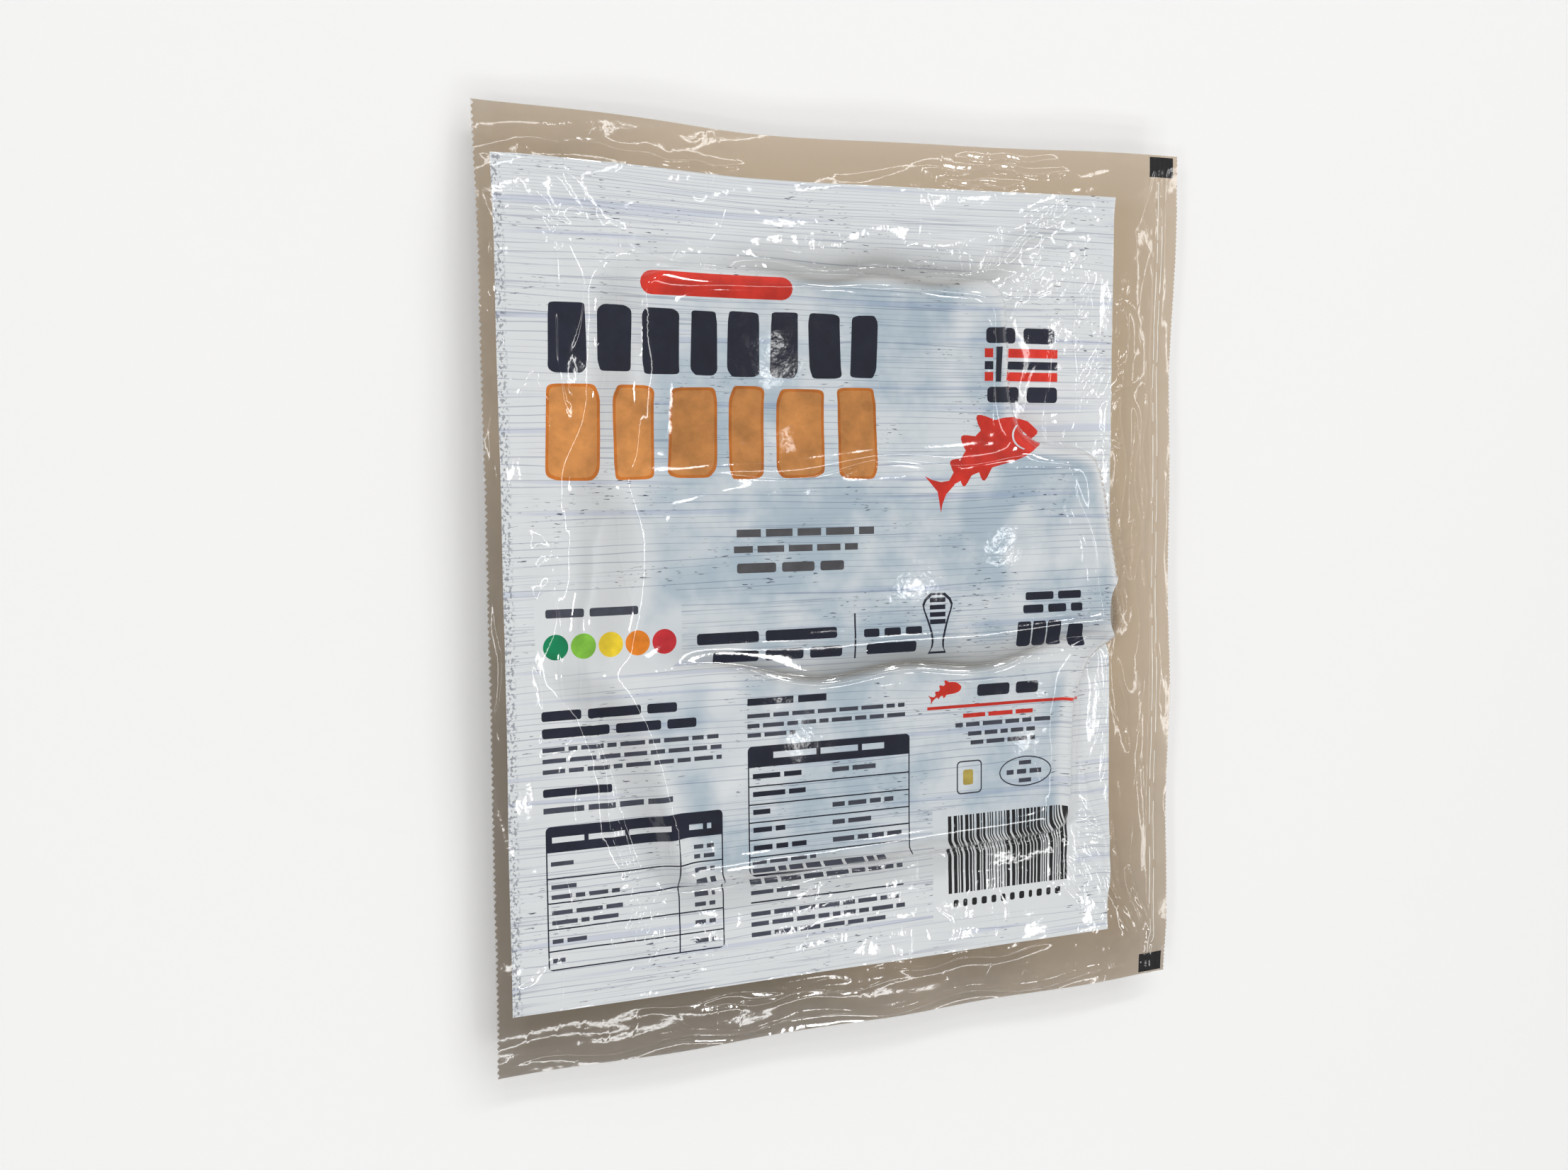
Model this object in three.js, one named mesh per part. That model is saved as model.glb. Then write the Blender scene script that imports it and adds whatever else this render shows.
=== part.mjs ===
// Three frozen cod loins, vacuum-sealed side by side in one flat film pouch.
// Millimetres, +Z up. The pack lies on the loins' flat undersides, with its printed face up.
// X runs across the pouch, Y towards its top edge. The origin is on the table, under the middle.
import * as THREE from 'three';
import { mergeVertices } from 'three/addons/utils/BufferGeometryUtils.js';

// The pouch: two films sealed face to face, with a flat margin all round the fish.
const POUCH_WIDTH = 250;
const POUCH_LENGTH = 300;
const FILM_PAIR = 1; // both films of the margin together
const WEB_HEIGHT = 16.5; // where the films meet beside a loin, above the table
const EDGE_HEIGHT = 12; // where the margin ends, drooping a little
const WEB_REACH = 26; // how far from a loin the margin has sunk most of the way
const CORNER_REACH = 34; // size of a loose corner that hangs or curls
const CORNER_DROOPS = { topLeft: 4.5, topRight: -2, bottomLeft: 1.5, bottomRight: 0.5 };
const WAVE_HEIGHT = 0.9; // slow waves in the margin
const WAVES_ACROSS = { count: 3.2, start: 0.6 }; // from side to side, and where in a wave they start
const WAVES_ALONG = { count: 3.8, start: -1.1 }; // from the bottom edge to the top edge

// The vacuum draws the long top edge and the right edge in where they pass the fish.
const TOP_PULL = { depth: 4.5, at: -35, reachBefore: 50, reachAfter: 100 };
const RIGHT_PULL = { depth: 1.8, at: 35, reachBefore: 70, reachAfter: 70 };
const PULL_FADE = 4; // the pull fades from the edge inwards, as this power of the distance from the middle
const CORNER_HOLD = 8; // and towards the edge's corners, as this power

// Each loin: its outline from above, anticlockwise; how wide its upper edge is rounded along each
// side of that outline, in the same order; and the heights of its two ends above the table.
const LOINS = {
  upper: {
    outline: [[-88, 38], [49, 45], [49, 102.5], [-86, 101]],
    shoulders: [9, 11, 8, 18],
    leftHeight: 28.5,
    rightHeight: 31,
  },
  middle: {
    outline: [[-97, -22], [12, -27], [96, -23], [84, 43], [-92, 32]],
    shoulders: [10, 11, 17, 10, 30],
    leftHeight: 31,
    rightHeight: 34.5,
  },
  lower: {
    outline: [[-72, -93], [79, -88.5], [80, -29], [-94, -28]],
    shoulders: [9, 26, 12, 24],
    leftHeight: 30,
    rightHeight: 29,
  },
};
const OUTLINE_ROUNDING = 4.5; // rounds a loin's corners, seen from above
const GROOVE_BRIDGING = 10; // the film spans the gaps between loins, so they stay shallow
const BASE_SHOULDER = 17; // width of the rounding along a loin's lower edge
const SHOULDER_POWER = 2.3; // above 2 the shoulder is squarer than a circle
const FOOT = 4; // the film leaves the margin this far outside a loin
const FOOT_SHARE = 0.38; // the part of a shoulder over which it curves up from the margin
const CROWN_BLEND = 7; // how quickly one loin's height gives way to the next one's

// Facets of each face
const COLUMNS = 48;
const ROWS = 57;

const FILM_COLOUR = 0xdadfe3;
const FILM_ROUGHNESS = 0.25;

// How far a point lies outside a loin's outline, seen from above (negative inside), and how wide
// the loin's upper edge is rounded there.
function outside({ outline, shoulders }, x, y) {
  let sum = 0;
  let widths = 0;
  outline.forEach(([x0, y0], i) => {
    const [x1, y1] = outline[(i + 1) % outline.length];
    const away = ((x - x0) * (y1 - y0) - (y - y0) * (x1 - x0)) / Math.hypot(x1 - x0, y1 - y0);
    const share = Math.exp(away / OUTLINE_ROUNDING);
    sum += share;
    widths += share * shoulders[i];
  });
  return { distance: OUTLINE_ROUNDING * Math.log(sum), shoulderWidth: widths / sum };
}

// Distance outside all the loins together, the height of the fish there, and its rounding.
function fishUnder(x, y) {
  let near = 0;
  let weights = 0;
  let heights = 0;
  let widths = 0;
  for (const loin of Object.values(LOINS)) {
    const { distance, shoulderWidth } = outside(loin, x, y);
    const weight = Math.exp(-distance / CROWN_BLEND);
    near += Math.exp(-distance / GROOVE_BRIDGING);
    weights += weight;
    heights += weight * THREE.MathUtils.lerp(loin.leftHeight, loin.rightHeight, x / POUCH_WIDTH + 0.5);
    widths += weight * shoulderWidth;
  }
  return {
    distance: -GROOVE_BRIDGING * Math.log(near),
    crown: heights / weights,
    shoulderWidth: widths / weights,
  };
}

// 0 just outside the outline, rising on a rounded shoulder to 1 well inside it.
function shoulder(distance, width) {
  const inwards = THREE.MathUtils.clamp((FOOT - distance) / (FOOT + width), 0, 1);
  const rounded = (1 - (1 - inwards) ** SHOULDER_POWER) ** (1 / SHOULDER_POWER);
  return rounded * THREE.MathUtils.smoothstep(inwards, 0, FOOT_SHARE);
}

// How much a loose corner hangs below the rest of the margin.
function cornerDroop(x, y) {
  const reach = (sideX, sideY) => {
    const fromCorner = Math.hypot(sideX * POUCH_WIDTH / 2 - x, sideY * POUCH_LENGTH / 2 - y);
    return Math.exp(-((fromCorner / CORNER_REACH) ** 2));
  };
  return CORNER_DROOPS.topLeft * reach(-1, 1) + CORNER_DROOPS.topRight * reach(1, 1)
    + CORNER_DROOPS.bottomLeft * reach(-1, -1) + CORNER_DROOPS.bottomRight * reach(1, -1);
}

// The middle of the two films' margin: high beside the fish, lower and wavy towards the edge.
function marginHeight(x, y, distance) {
  const away = 1 - Math.exp(-Math.max(distance, 0) / WEB_REACH);
  const waves = Math.sin((x / POUCH_WIDTH) * WAVES_ACROSS.count * 2 * Math.PI + WAVES_ACROSS.start)
    + Math.sin((y / POUCH_LENGTH) * WAVES_ALONG.count * 2 * Math.PI + WAVES_ALONG.start);
  const level = THREE.MathUtils.lerp(WEB_HEIGHT, EDGE_HEIGHT, away);
  return level + away * WAVE_HEIGHT * waves - cornerDroop(x, y);
}

// How far an edge is drawn in at a place along it. Its two corners stay where they are.
function pulledIn(pull, along, halfEdge) {
  const reach = along < pull.at ? pull.reachBefore : pull.reachAfter;
  const fromCorners = 1 - (along / halfEdge) ** CORNER_HOLD;
  return pull.depth * Math.exp(-(((along - pull.at) / reach) ** 2)) * fromCorners;
}

// Moves a point of the flat pouch to where the drawn-in film puts it.
function drawnIn(x, y) {
  const topPull = pulledIn(TOP_PULL, x, POUCH_WIDTH / 2);
  const rightPull = pulledIn(RIGHT_PULL, y, POUCH_LENGTH / 2);
  const towardsTop = Math.max(y / (POUCH_LENGTH / 2), 0) ** PULL_FADE;
  const towardsRight = Math.max(x / (POUCH_WIDTH / 2), 0) ** PULL_FADE;
  return [x - rightPull * towardsRight, y - topPull * towardsTop];
}

// One closed solid: a thin slab whose upper and lower faces are draped over and under the fish.
function sealedPackGeometry() {
  const slab = new THREE.BoxGeometry(POUCH_WIDTH, POUCH_LENGTH, FILM_PAIR, COLUMNS, ROWS, 1);
  const places = slab.attributes.position;
  for (let i = 0; i < places.count; i += 1) {
    const isUpper = places.getZ(i) > 0;
    const [x, y] = drawnIn(places.getX(i), places.getY(i));
    const { distance, crown, shoulderWidth } = fishUnder(x, y);
    const margin = marginHeight(x, y, distance);
    const upper = margin + FILM_PAIR / 2;
    const lower = margin - FILM_PAIR / 2;
    const z = isUpper
      ? THREE.MathUtils.lerp(upper, crown, shoulder(distance, shoulderWidth))
      : lower * (1 - shoulder(distance, BASE_SHOULDER));
    places.setXYZ(i, x, y, z);
  }
  slab.deleteAttribute('normal');
  slab.deleteAttribute('uv');
  const closed = mergeVertices(slab);
  closed.computeVertexNormals();
  return closed;
}

const film = new THREE.MeshStandardMaterial({
  color: FILM_COLOUR,
  roughness: FILM_ROUGHNESS,
  metalness: 0,
});
const sealedPack = new THREE.Mesh(sealedPackGeometry(), film);
sealedPack.name = 'sealed_pack';

const pack = new THREE.Group();
pack.add(sealedPack);

export default pack;
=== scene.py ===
# A vacuum pack of three frozen cod loins, lying on its back with the printed face up.
# Lengths are in millimetres until a mesh is finished; X runs across the pouch, Y to its top edge.
import math

import bmesh
import bpy
import numpy as np
from mathutils import Matrix, Vector
from mathutils.geometry import delaunay_2d_cdt


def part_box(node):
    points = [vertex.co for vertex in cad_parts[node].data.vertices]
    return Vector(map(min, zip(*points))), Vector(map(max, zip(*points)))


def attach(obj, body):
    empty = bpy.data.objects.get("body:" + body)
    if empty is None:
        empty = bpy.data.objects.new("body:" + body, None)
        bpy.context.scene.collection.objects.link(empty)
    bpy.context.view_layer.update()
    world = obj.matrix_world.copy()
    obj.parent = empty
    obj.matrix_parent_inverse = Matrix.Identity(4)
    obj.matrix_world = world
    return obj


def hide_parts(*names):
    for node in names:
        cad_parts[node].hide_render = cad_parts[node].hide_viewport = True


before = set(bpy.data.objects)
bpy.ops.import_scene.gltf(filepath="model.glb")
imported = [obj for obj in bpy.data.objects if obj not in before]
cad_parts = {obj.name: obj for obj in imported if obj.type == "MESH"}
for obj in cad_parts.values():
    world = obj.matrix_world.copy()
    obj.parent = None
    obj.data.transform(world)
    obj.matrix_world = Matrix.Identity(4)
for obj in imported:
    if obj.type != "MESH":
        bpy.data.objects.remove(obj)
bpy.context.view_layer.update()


# ---------------------------------------------------------------- the loins
# Three pieces of desalted cod, frozen flat and glazed with ice, packed side by side.
# Seen through the clear back, they show white flesh in flakes, with a frosty, uneven glaze.
MM = 0.001
LOINS = {  # outline from above, anticlockwise; shoulder width along each side; height at each end
    "upper_loin": dict(
        outline=[(-88, 38), (49, 45), (49, 102.5), (-86, 101)],
        shoulders=(9, 11, 8, 18),
        ends=(28.5, 31),
    ),
    "middle_loin": dict(
        outline=[(-97, -20), (12, -25.6), (96, -20), (85, 46), (-92, 34)],
        shoulders=(11, 12, 15, 7, 30),
        ends=(31, 34.5),
    ),
    "lower_loin": dict(
        outline=[(-72, -93), (79, -88.5), (80, -28), (-94, -27)],
        shoulders=(9, 26, 7, 24),
        ends=(30, 29),
    ),
}
POUCH_LOW, POUCH_HIGH = (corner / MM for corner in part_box("sealed_pack"))
POUCH_WIDTH = POUCH_HIGH.x - POUCH_LOW.x
POUCH_LENGTH = POUCH_HIGH.y - POUCH_LOW.y
OUTLINE_ROUNDING = 4.5
BASE_SHOULDER = 17
SHOULDER_POWER = 2.3
LOIN_INSET = 0.7  # room for the film and the frost outside the flesh
FLAKE_WIDTH, FLAKE_DEPTH = 8.5, 0.45
FLESH, FLESH_SEAM, FROST = (0.72, 0.64, 0.50), (0.46, 0.37, 0.26), (0.86, 0.87, 0.88)


def smooth(value, low, high):
    """0 below low, 1 above high, and an S-curve between them."""
    share = np.clip((value - low) / (high - low), 0, 1)
    return share * share * (3 - 2 * share)


def lumps(x, y, size, seed, creased=False):
    """Random hills and hollows from -1 to 1, about one size across; creased ones meet in sharp folds."""
    cells = 61  # the pattern repeats after so many lumps
    table = np.random.default_rng(seed).uniform(-1, 1, (cells, cells))
    turn = seed * 1.7
    u = (x * math.cos(turn) - y * math.sin(turn)) / size + 300
    v = (x * math.sin(turn) + y * math.cos(turn)) / size + 300
    i, j = np.floor(u).astype(int), np.floor(v).astype(int)
    s, t = u - i, v - j
    if not creased:
        s, t = s * s * (3 - 2 * s), t * t * (3 - 2 * t)
    i, j, i1, j1 = i % cells, j % cells, (i + 1) % cells, (j + 1) % cells
    low = table[i, j] * (1 - s) + table[i1, j] * s
    high = table[i, j1] * (1 - s) + table[i1, j1] * s
    return low * (1 - t) + high * t


def outside(cut, x, y):
    """How far a point lies outside a loin's rounded outline, and the shoulder's width nearby."""
    total = widths = 0
    ends = cut["outline"][1:] + cut["outline"][:1]
    for (x0, y0), (x1, y1), width in zip(cut["outline"], ends, cut["shoulders"]):
        away = ((x - x0) * (y1 - y0) - (y - y0) * (x1 - x0)) / math.hypot(x1 - x0, y1 - y0)
        share = np.exp(away / OUTLINE_ROUNDING)
        total = total + share
        widths = widths + share * width
    return OUTLINE_ROUNDING * np.log(total), widths / total


def height_along(ends, x):
    return ends[0] + (ends[1] - ends[0]) * (x / POUCH_WIDTH + 0.5)


def rounded(inwards):
    """A shoulder's rise from 0 at its foot to 1 at its full height."""
    inwards = np.clip(inwards, 0, 1)
    return (1 - (1 - inwards) ** SHOULDER_POWER) ** (1 / SHOULDER_POWER)


def top_of(cut, x, y):
    """The height of a loin's upper side over these points, and 0 outside it."""
    out, width = outside(cut, x, y)
    half_up = (height_along(cut["ends"], x) - LOIN_INSET) / 2
    inwards = (-out - LOIN_INSET) / width
    return np.where(inwards > 0, half_up * (1 + rounded(inwards) * smooth(inwards, 0, 0.5)), 0)


def positions(bm):
    return np.array([v.co for v in bm.verts]).T


def finished(name, bm, x, y, z, materials):
    """Moves a bmesh's vertices to these millimetres and makes the piece."""
    for vert, place in zip(bm.verts, np.stack([x, y, z], 1) * MM):
        vert.co = place
    bmesh.ops.remove_doubles(bm, verts=bm.verts, dist=0.00002)
    mesh = bpy.data.meshes.new(name)
    bm.to_mesh(mesh)
    bm.free()
    for material in materials:
        mesh.materials.append(material)
    mesh.shade_smooth()
    piece = bpy.data.objects.new(name, mesh)
    bpy.context.scene.collection.objects.link(piece)
    return piece


def add_attribute(piece, name, values):
    layer = piece.data.attributes.new(name, "FLOAT", "POINT")
    layer.data.foreach_set("value", np.asarray(values, np.float32))


def node_material(name):
    """An empty Principled material, with its tree, its shader and a short way to add and link nodes."""
    material = bpy.data.materials.new(name)
    material.use_nodes = True
    tree = material.node_tree
    shader = tree.nodes["Principled BSDF"]

    def add(kind, inputs=None, **settings):
        node = tree.nodes.new(kind)
        for key, value in settings.items():
            setattr(node, key, value)
        for key, value in (inputs or {}).items():
            if isinstance(value, bpy.types.NodeSocket):
                tree.links.new(value, node.inputs[key])
            else:
                node.inputs[key].default_value = value
        return node

    def plug(socket, name):
        tree.links.new(socket, shader.inputs[name])

    return material, shader, add, plug


def cod_flesh():
    """Creamy flakes with darker seams between them, under patches of frost."""
    material, shader, add, plug = node_material("cod_flesh")
    place = add("ShaderNodeTexCoord").outputs["Object"]
    seams = add("ShaderNodeAttribute", attribute_name="flake").outputs["Fac"]
    flesh = add(
        "ShaderNodeMix",
        {"Factor": seams, "A": (*FLESH_SEAM, 1), "B": (*FLESH, 1)},
        data_type="RGBA",
    )
    frost = add("ShaderNodeTexNoise", {"Vector": place, "Scale": 70, "Detail": 6, "Roughness": 0.65})
    patches = add(
        "ShaderNodeMapRange", {"Value": frost.outputs["Fac"], "From Min": 0.48, "From Max": 0.66}
    )
    iced = add(
        "ShaderNodeMix",
        {"Factor": patches.outputs["Result"], "A": flesh.outputs["Result"], "B": (*FROST, 1)},
        data_type="RGBA",
    )
    plug(iced.outputs["Result"], "Base Color")
    grains = add("ShaderNodeTexNoise", {"Vector": place, "Scale": 900, "Detail": 4})
    bump = add(
        "ShaderNodeBump", {"Height": grains.outputs["Fac"], "Strength": 0.35, "Distance": 0.0004}
    )
    plug(bump.outputs["Normal"], "Normal")
    shader.inputs["Roughness"].default_value = 0.42
    shader.inputs["Subsurface Weight"].default_value = 0.12
    shader.inputs["Subsurface Scale"].default_value = 0.004
    shader.inputs["Coat Weight"].default_value = 0.6
    shader.inputs["Coat Roughness"].default_value = 0.12
    return material


def loin(name, cut, seed):
    """Two flat grids pressed to the loin's outline, one over the other, that meet along its rim."""
    bm = bmesh.new()
    for side in (-1, 1):
        grid = bmesh.ops.create_grid(bm, x_segments=120, y_segments=64, size=1)
        bmesh.ops.translate(bm, verts=grid["verts"], vec=(0, 0, side))
    u, v, side = positions(bm)
    disc_x, disc_y = u * np.sqrt(1 - v * v / 2), v * np.sqrt(1 - u * u / 2)
    from_middle = np.clip(np.hypot(disc_x, disc_y), 0, 1)
    direction = np.arctan2(disc_y, disc_x)
    middle_x, middle_y = np.mean(cut["outline"], axis=0)
    near, far = np.zeros_like(u), np.full_like(u, POUCH_WIDTH)
    for _ in range(30):
        reach = (near + far) / 2
        out, _ = outside(
            cut, middle_x + reach * np.cos(direction), middle_y + reach * np.sin(direction)
        )
        near, far = np.where(out < -LOIN_INSET, reach, near), np.where(out < -LOIN_INSET, far, reach)
    spread = np.sin(from_middle * math.pi / 2) * near
    x, y = middle_x + spread * np.cos(direction), middle_y + spread * np.sin(direction)
    out, _ = outside(cut, x, y)
    inwards = np.where(from_middle > 0.9999, 0, -out - LOIN_INSET)
    half_up = (height_along(cut["ends"], x) - LOIN_INSET) / 2
    over = np.where(inwards > 0, np.maximum(top_of(cut, x, y), half_up), half_up)
    under = half_up - (half_up - LOIN_INSET) * rounded(inwards / BASE_SHOULDER)
    bend = 0.012 * (y - middle_y) ** 2 + 5 * lumps(x, y, 45, seed) + 1.4 * lumps(x, y, 7, seed + 1)
    phase = ((x + bend) / FLAKE_WIDTH) % 1
    flake = smooth(np.minimum(phase, 1 - phase), 0.0, 0.16)
    dents = FLAKE_DEPTH * (1 - flake) + 0.35 * (1 + lumps(x, y, 6, seed + 2)) / 2
    z = np.where(side > 0, over, under + dents * smooth(inwards, 0, 6))
    piece = finished(name, bm, x, y, z, [cod_flesh_material])
    seam_at = {tuple(np.round(p, 3)): f for p, f in zip(np.stack([x, y, z], 1), flake)}
    add_attribute(
        piece, "flake", [seam_at.get(tuple(np.round(np.array(v.co) / MM, 3)), 1) for v in piece.data.vertices]
    )
    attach(piece, "root")


cod_flesh_material = cod_flesh()
for number, (name, cut) in enumerate(LOINS.items()):
    loin(name, cut, seed=11 + 7 * number)


# ---------------------------------------------------------------- the back film
# The plain clear film under the fish. The vacuum draws it round the loins' lower edges and
# up between them, and it is sealed to the front film in a flat margin all round.
FILM_GAP = 0.3  # between the two films' outer faces in the margin
WEB_HEIGHT, EDGE_HEIGHT, WEB_REACH = 16.5, 12, 26
CORNER_REACH = 34
CORNER_DROOPS = {(-1, 1): 4.5, (1, 1): -2, (-1, -1): 1.5, (1, -1): 0.5}
WAVE_HEIGHT = 0.9
WAVES_ACROSS, WAVES_ALONG = (3.2, 0.6), (3.8, -1.1)
TOP_PULL, RIGHT_PULL = (4.5, -35, 50, 100), (1.8, 35, 70, 70)  # depth, place, reach before and after
PULL_FADE, CORNER_HOLD = 4, 8
GROOVE_BRIDGING, CROWN_BLEND = 10, 7
FOOT = 4
FOOT_SHARE = 0.38
VALLEYS = [  # both films dip before they climb a loin: start, end, height, width, bow, tip
    ((-46, 104.5), (60, 105.5), -2.6, 4.5, 0, 0.8),
    ((44, 103.5), (88, 131), -1.9, 3.6, 3, 1.5),
    ((-60, -95), (30, -93.5), -1.6, 1.5, 0, 0.5),
    ((18, -92.5), (88, -89), -1.6, 1.5, 1, 0.5),
]


def fish_under(x, y):
    """Distance outside all the loins together, the fish's height there and its shoulder's width."""
    near = weights = heights = widths = 0
    for cut in LOINS.values():
        distance, width = outside(cut, x, y)
        weight = np.exp(-distance / CROWN_BLEND)
        near = near + np.exp(-distance / GROOVE_BRIDGING)
        weights = weights + weight
        heights = heights + weight * height_along(cut["ends"], x)
        widths = widths + weight * width
    return -GROOVE_BRIDGING * np.log(near), heights / weights, widths / weights


def shoulder(distance, width, foot=FOOT, foot_share=FOOT_SHARE):
    inwards = (foot - distance) / (foot + width)
    return rounded(inwards) * smooth(inwards, 0, foot_share)


def raise_ridge(z, x, y, start, end, height, width, bow=0.0, tip=0.7):
    """A fold along a line, bowed to its left and running out to nothing at its ends; tip rounds it."""
    (x0, y0), (x1, y1) = start, end
    length = math.hypot(x1 - x0, y1 - y0)
    room = 7 * width + abs(bow)
    near = (x > min(x0, x1) - room) & (x < max(x0, x1) + room)
    near = np.flatnonzero(near & (y > min(y0, y1) - room) & (y < max(y0, y1) + room))
    off_x, off_y = x[near] - x0, y[near] - y0
    along = np.clip((off_x * (x1 - x0) + off_y * (y1 - y0)) / length**2, 0, 1)
    across = (off_y * (x1 - x0) - off_x * (y1 - y0)) / length
    arch = np.sin(math.pi * along)
    across = across - bow * arch - 0.012 * length * np.sin(5 * math.pi * along)
    z[near] += height * arch**0.7 * np.exp(-(np.sqrt(across**2 + tip**2) - tip) / width)


def margin_height(x, y, distance):
    """The level of the sealed margin: high beside the fish, lower and wavy towards the edge."""
    away = 1 - np.exp(-np.maximum(distance, 0) / WEB_REACH)
    waves = np.sin(x / POUCH_WIDTH * WAVES_ACROSS[0] * 2 * math.pi + WAVES_ACROSS[1])
    waves = waves + np.sin(y / POUCH_LENGTH * WAVES_ALONG[0] * 2 * math.pi + WAVES_ALONG[1])
    level = WEB_HEIGHT + (EDGE_HEIGHT - WEB_HEIGHT) * away + away * WAVE_HEIGHT * waves
    for (side_x, side_y), droop in CORNER_DROOPS.items():
        reach = np.hypot(side_x * POUCH_WIDTH / 2 - x, side_y * POUCH_LENGTH / 2 - y)
        level = level - droop * np.exp(-((reach / CORNER_REACH) ** 2))
    for valley in VALLEYS:
        raise_ridge(level, x, y, *valley)
    return level


def pulled_in(pull, along, half_edge):
    depth, at, before, after = pull
    reach = np.where(along < at, before, after)
    return depth * np.exp(-(((along - at) / reach) ** 2)) * (1 - (along / half_edge) ** CORNER_HOLD)


def drawn_in(x, y):
    """Where the vacuum draws a point of the flat pouch: the long edges bow in beside the fish."""
    top = pulled_in(TOP_PULL, x, POUCH_WIDTH / 2)
    right = pulled_in(RIGHT_PULL, y, POUCH_LENGTH / 2)
    upper, righter = np.maximum(y / (POUCH_LENGTH / 2), 0), np.maximum(x / (POUCH_WIDTH / 2), 0)
    return x - right * righter**PULL_FADE, y - top * upper**PULL_FADE


def back_clear():
    """Clear film: a tint laid thinly over what lies behind, with a hard gloss and fine ripples."""
    material, shader, add, plug = node_material("back_clear")
    shader.inputs["Base Color"].default_value = (0.75, 0.72, 0.68, 1)
    shader.inputs["Alpha"].default_value = 0.22
    shader.inputs["Roughness"].default_value = 0.3
    shader.inputs["Coat Weight"].default_value = 1
    shader.inputs["Coat Roughness"].default_value = 0.05
    place = add("ShaderNodeTexCoord").outputs["Object"]
    ripples = add("ShaderNodeTexNoise", {"Vector": place, "Scale": 380, "Detail": 3})
    bump = add(
        "ShaderNodeBump", {"Height": ripples.outputs["Fac"], "Strength": 0.4, "Distance": 0.0003}
    )
    plug(bump.outputs["Normal"], "Normal")
    plug(bump.outputs["Normal"], "Coat Normal")
    return material


def back_film():
    bm = bmesh.new()
    bmesh.ops.create_grid(bm, x_segments=215, y_segments=258, size=0.5)
    bmesh.ops.reverse_faces(bm, faces=bm.faces)
    u, v, _ = positions(bm)
    x, y = drawn_in(u * POUCH_WIDTH, v * POUCH_LENGTH)
    distance, _, _ = fish_under(x, y)
    lower = margin_height(x, y, distance) - FILM_GAP / 2
    held = shoulder(distance, BASE_SHOULDER)
    slack = 0.5 * lumps(x, y, 9, 51, creased=True) + 0.25 * lumps(x, y, 4, 52, creased=True)
    z = lower * (1 - held) + slack * (1 - held) * smooth(held, 0, 0.4)
    piece = finished("back_film", bm, x, y, np.maximum(z, 0), [back_clear()])
    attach(piece, "root")


back_film()


# ---------------------------------------------------------------- the printed front film
# Clear film, printed on its inner side and drawn down hard over the fish: a white panel with a
# pale wood grain, blocks of ink, and a bare margin that shows a warm tint of what is behind it.
PANEL = dict(left=-120, right=99, bottom=-130.5, top=134.5)
FISH_PITCH, PANEL_PITCH, MARGIN_PITCH = 1.4, 0.8, 0.56  # mesh spacing on the fish and off it
LEFT_TOOTH, RIGHT_TOOTH = (2.0, 1.0), (1.5, 0.45)  # pitch and depth of the cut edges
SIGHT_FOOT, SIGHT_HEIGHT = (-194.4, 38.8), 425  # the print is square to an eye over this point
INKS = {
    "clear_margin": None,
    "white_print": None,
    "plain_white": None,
    "navy_ink": (0.014, 0.017, 0.034),
    "text_ink": (0.06, 0.065, 0.09),
    "orange_ink": (0.58, 0.17, 0.022),
    "orange_wash": (0.63, 0.265, 0.075),
    "red_ink": (0.66, 0.032, 0.018),
    "stamp_ink": (0.10, 0.10, 0.11),
    "black_ink": (0.012, 0.012, 0.014),
    "weld_line": (0.80, 0.78, 0.72),
    "green_ink": (0.0, 0.20, 0.08),
    "leaf_ink": (0.21, 0.50, 0.05),
    "yellow_ink": (0.85, 0.62, 0.03),
    "ochre_ink": (0.50, 0.39, 0.09),
    "amber_ink": (0.83, 0.24, 0.02),
    "rose_ink": (0.62, 0.03, 0.04),
}
WHITE_INK, COLD_TINT = (0.72, 0.745, 0.76, 1), (0.55, 0.65, 0.73, 1)
GRAIN_STREAK, GRAIN_LINE, GRAIN_DASH = (0.47, 0.52, 0.66, 1), (0.27, 0.31, 0.41, 1), (0.10, 0.11, 0.15, 1)
# painted shade for the gaps behind the film where no fish lies
PAINTED_GAP_SHADE = (0.15, 0.14, 0.12, 1)
# the bare margin's tint, from its painted-shade end to its lit end
MARGIN_SHADED, MARGIN_PALE = (0.16, 0.125, 0.085, 1), (0.51, 0.39, 0.26, 1)
DETAILED_FISH = 20  # a printed fish longer than this has a gill and an eye
ink_order = list(INKS)
shapes = []  # every printed shape: its outline and its ink, the later ones on top
draw = np.random.default_rng(4)


def shape(ink, points):
    """Adds an outline, turned anticlockwise."""
    points = [tuple(p) for p in points]
    turning = sum(x0 * y1 - x1 * y0 for (x0, y0), (x1, y1) in zip(points, points[1:] + points[:1]))
    shapes.append((ink, points if turning > 0 else points[::-1]))


def block(ink, left, bottom, right, top, corner=0.0):
    """A rectangle of ink, with round corners if asked."""
    if not corner:
        shape(ink, [(left, bottom), (right, bottom), (right, top), (left, top)])
        return
    points = []
    for x, y, start in ((right, top, 0), (left, top, 90), (left, bottom, 180), (right, bottom, 270)):
        middle_x = x - math.copysign(corner, x - (left + right) / 2)
        middle_y = y - math.copysign(corner, y - (bottom + top) / 2)
        for step in range(5):
            angle = math.radians(start + 22.5 * step)
            points.append((middle_x + corner * math.cos(angle), middle_y + corner * math.sin(angle)))
    shape(ink, points)


def oval(ink, x, y, across, up):
    turns = np.linspace(0, 2 * math.pi, 33)[:-1]
    shape(ink, zip(x + across / 2 * np.cos(turns), y + up / 2 * np.sin(turns)))


def words(ink, left, right, bottom, height, shortest=2.5, longest=8.5):
    """A line of text, as plain bars the length of words."""
    gap = 0.5 + 0.5 * height
    while right - left > shortest / 2:
        length = min(draw.uniform(shortest, longest), right - left)
        block(ink, left, bottom, left + length, bottom + height, 0.25 * height if height > 2.5 else 0)
        left += length + gap


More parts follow.
